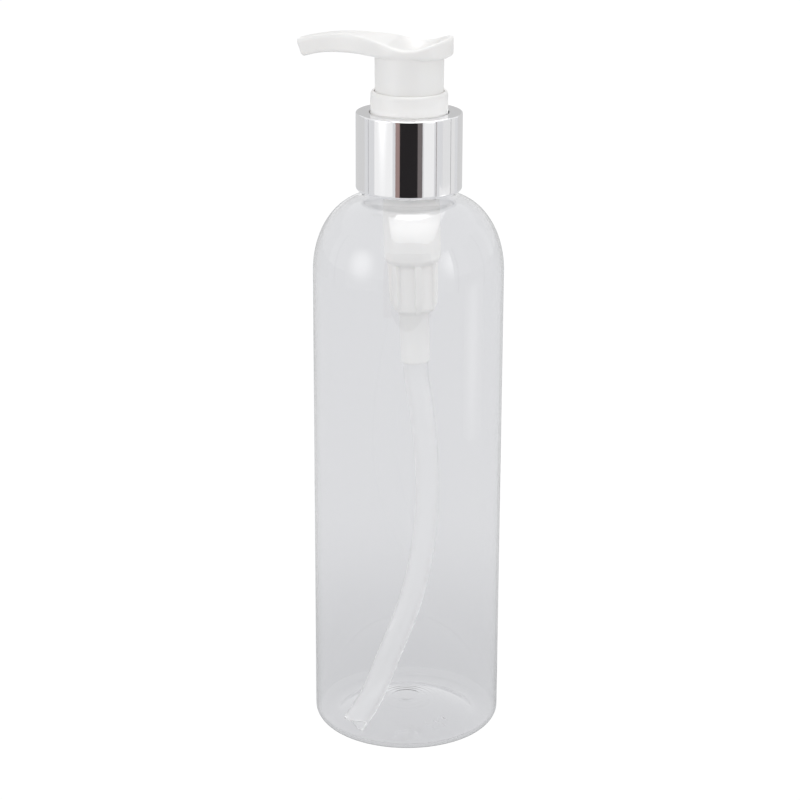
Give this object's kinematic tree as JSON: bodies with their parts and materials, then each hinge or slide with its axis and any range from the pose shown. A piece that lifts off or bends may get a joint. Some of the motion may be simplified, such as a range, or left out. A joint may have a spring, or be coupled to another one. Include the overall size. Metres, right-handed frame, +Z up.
{
  "type": "soap pump dispenser",
  "caption": "Tall round clear bottle closed by a lotion pump: saddle-shaped head with a side spout, white lock ring, bright metal collar, ribbed barrel and curved dip tube.",
  "frame": {"origin": "centre of the bottle's standing ring, on the bottle's axis and on the surface it stands on", "axes": "+Z up along the bottle's axis; -X is the way the spout points at rest; +Y is to the right of the spout seen from behind the head"},
  "size_m": [0.0554, 0.0508, 0.1923],
  "materials": {
    "clear_pet": "clear blow-moulded PET, glossy",
    "white_plastic": "white polypropylene, satin gloss",
    "milky_plastic": "natural polypropylene, milky and slightly translucent",
    "polished_aluminium": "bright polished and lacquered sheet",
    "spring_steel": "drawn stainless wire and ball",
    "soft_seal": "soft polyethylene seal",
    "clear_tube": "clear extruded polyethylene, slightly hazy"
  },
  "bodies": {
    "bottle": {"bottle": "clear_pet"},
    "pump_body": {"pump_housing": "milky_plastic", "neck_gasket": "soft_seal", "lock_ring": "white_plastic", "ball_retainer": "milky_plastic", "dip_tube": "clear_tube", "return_spring": "spring_steel"},
    "closure": {"closure_cap": "white_plastic", "collar_shell": "polished_aluminium"},
    "plunger": {"piston_rod": "white_plastic"},
    "piston": {"piston": "soft_seal"},
    "head": {"actuator_head": "white_plastic", "stem": "white_plastic"},
    "ball": {"inlet_ball": "spring_steel"}
  },
  "joints": [
    {"name": "pump_rise", "type": "slide", "parent": "bottle", "child": "pump_body", "axis": [0, 0, 1], "range_m": [0, 0.00476]},
    {"name": "closure_turn", "type": "hinge", "parent": "pump_body", "child": "closure", "pos_m": [0, 0, 0.16], "axis": [0, 0, 1], "range_deg": [0, 540]},
    {"name": "press", "type": "slide", "parent": "pump_body", "child": "plunger", "axis": [0, 0, -1], "range_m": [0, 0.008], "stiffness_N_per_m": 1100, "springref_m": -0.006, "deforming": ["return_spring"]},
    {"name": "head_turn", "type": "hinge", "parent": "plunger", "child": "head", "pos_m": [0, 0, 0.175], "axis": [0, 0, 1], "range_deg": [0, 90]},
    {"name": "piston_slip", "type": "slide", "parent": "plunger", "child": "piston", "axis": [0, 0, 1], "range_m": [0, 0.001]},
    {"name": "ball_lift", "type": "slide", "parent": "pump_body", "child": "ball", "axis": [0, 0, 1], "range_m": [0, 0.0012]}
  ],
  "couplings": [
    {"joint": "closure_turn", "follows": "pump_rise", "rad_per_m": 1979}
  ]
}
